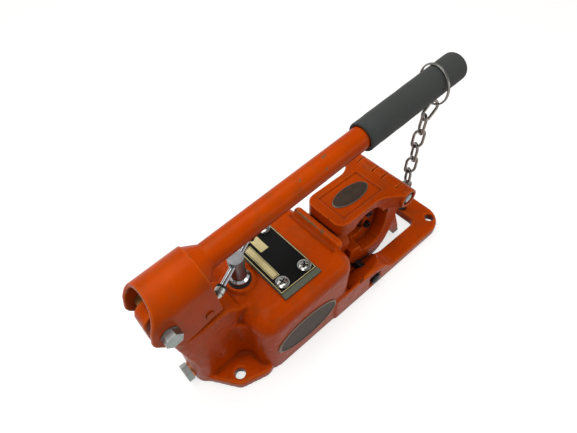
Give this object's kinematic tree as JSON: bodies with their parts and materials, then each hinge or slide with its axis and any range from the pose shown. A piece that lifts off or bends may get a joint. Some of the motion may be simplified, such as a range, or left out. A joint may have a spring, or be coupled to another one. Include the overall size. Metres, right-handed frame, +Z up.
{
  "type": "hydraulic wire rope cutter",
  "caption": "Hand-pumped hydraulic cutter for wire rope: a cast base with pump and ram, a hooked jaw under a hinged gate, and a long pump lever with a foam grip.",
  "frame": {"origin": "on the ground, at the centre of the four mounting holes", "axes": "+X from the pump end to the cutting head, +Y to the far side, +Z up"},
  "size_m": [0.4182, 0.1274, 0.2202],
  "materials": {
    "casting_paint": "orange enamel on a steel casting",
    "sheet_paint": "orange enamel on sheet steel and tube",
    "grip_foam": "charcoal foam rubber",
    "badge_plate": "dark bare badge with a pale rim",
    "cover_paint": "olive grey painted plate",
    "name_plate": "black plate with gold lines and no text",
    "zinc_plate": "bright zinc plate",
    "chrome_plate": "polished chrome plate",
    "black_oxide": "black oxide on steel",
    "seal_rubber": "nitrile rubber",
    "machined_steel": "turned and ground steel",
    "copper_washer": "copper",
    "bronze": "bronze",
    "ring_steel": "nickel plated spring wire",
    "chain_steel": "dark tarnished steel"
  },
  "bodies": {
    "frame": {"body_casting": "casting_paint", "yoke": "casting_paint", "cylinder_nose": "machined_steel", "lock_ring": "machined_steel", "rod_seal": "seal_rubber", "return_spring": "machined_steel", "anvil": "machined_steel", "anvil_screws": "black_oxide", "side_bolts": "black_oxide", "side_badges": "badge_plate", "reservoir_cover": "cover_paint", "cover_gasket": "seal_rubber", "nameplate": "name_plate", "cover_screws": "zinc_plate", "reservoir_bladder": "seal_rubber", "valve_gasket": "seal_rubber", "valve_collar": "chrome_plate", "pivot_bolt": "zinc_plate", "pivot_nut": "zinc_plate", "pivot_sleeve": "machined_steel", "pivot_washers": "zinc_plate", "pump_gland": "machined_steel", "pump_seal": "seal_rubber", "rear_plug": "zinc_plate", "plug_washer": "copper_washer", "outlet_seat": "bronze", "outlet_spring": "machined_steel", "inlet_seat": "bronze", "inlet_spring": "machined_steel", "chain_eye": "chain_steel"},
    "ram": {"ram": "machined_steel", "piston_seal": "seal_rubber", "blade": "machined_steel", "blade_screws": "black_oxide"},
    "gate": {"gate": "casting_paint", "gate_badge": "badge_plate", "hinge_pin": "machined_steel"},
    "handle": {"handle_bracket": "sheet_paint", "handle_tube": "sheet_paint", "handle_grip": "grip_foam", "cross_pin": "sheet_paint"},
    "plunger": {"pump_plunger": "machined_steel"},
    "valve": {"valve_spindle": "chrome_plate"},
    "t_bar": {"t_bar": "chrome_plate", "t_bar_screws": "zinc_plate", "t_bar_rings": "seal_rubber"},
    "keeper": {"keeper_ring": "ring_steel"},
    "chain": {"chain": "chain_steel"},
    "outlet_ball": {"outlet_ball": "machined_steel"},
    "inlet_ball": {"inlet_ball": "machined_steel"}
  },
  "joints": [
    {"name": "handle_pivot", "type": "hinge", "parent": "frame", "child": "handle", "pos_m": [-0.201, 0, 0.147], "axis": [0, -1, 0], "range_deg": [0, 50]},
    {"name": "plunger_slide", "type": "slide", "parent": "frame", "child": "plunger", "axis": [0, 0, 1], "range_m": [0, 0.0345]},
    {"name": "ram_slide", "type": "slide", "parent": "frame", "child": "ram", "axis": [1, 0, 0], "range_m": [0, 0.032], "stiffness_N_per_m": 400, "springref_m": -0.02, "deforming": ["return_spring"]},
    {"name": "gate_hinge", "type": "hinge", "parent": "frame", "child": "gate", "pos_m": [0.0915, 0, 0.1025], "axis": [0, 1, 0], "range_deg": [0, 43]},
    {"name": "valve_turn", "type": "hinge", "parent": "frame", "child": "valve", "pos_m": [-0.113, 0.005, 0.1], "axis": [0, 0, 1], "range_deg": [0, 110]},
    {"name": "t_bar_slide", "type": "slide", "parent": "valve", "child": "t_bar", "axis": [0.891, 0.454, 0], "range_m": [0, 0.021]},
    {"name": "keeper_slide", "type": "slide", "parent": "handle", "child": "keeper", "axis": [0.996, 0, 0.0889], "range_m": [0, 0.05]},
    {"name": "chain_swing", "type": "hinge", "parent": "keeper", "child": "chain", "pos_m": [0.1618, -0.008, 0.1764], "axis": [0, -1, 0], "range_deg": [-30, 0]},
    {"name": "outlet_lift", "type": "slide", "parent": "frame", "child": "outlet_ball", "axis": [1, 0, 0], "range_m": [0, 0.002], "stiffness_N_per_m": 200, "springref_m": -0.002, "deforming": ["outlet_spring"]},
    {"name": "inlet_lift", "type": "slide", "parent": "frame", "child": "inlet_ball", "axis": [-1, 0, 0], "range_m": [0, 0.002], "stiffness_N_per_m": 100, "springref_m": -0.002, "deforming": ["inlet_spring"]}
  ],
  "couplings": [
    {"joint": "plunger_slide", "follows": "handle_pivot", "m_per_rad": 0.039},
    {"joint": "chain_swing", "follows": "handle_pivot", "ratio": -0.6}
  ]
}
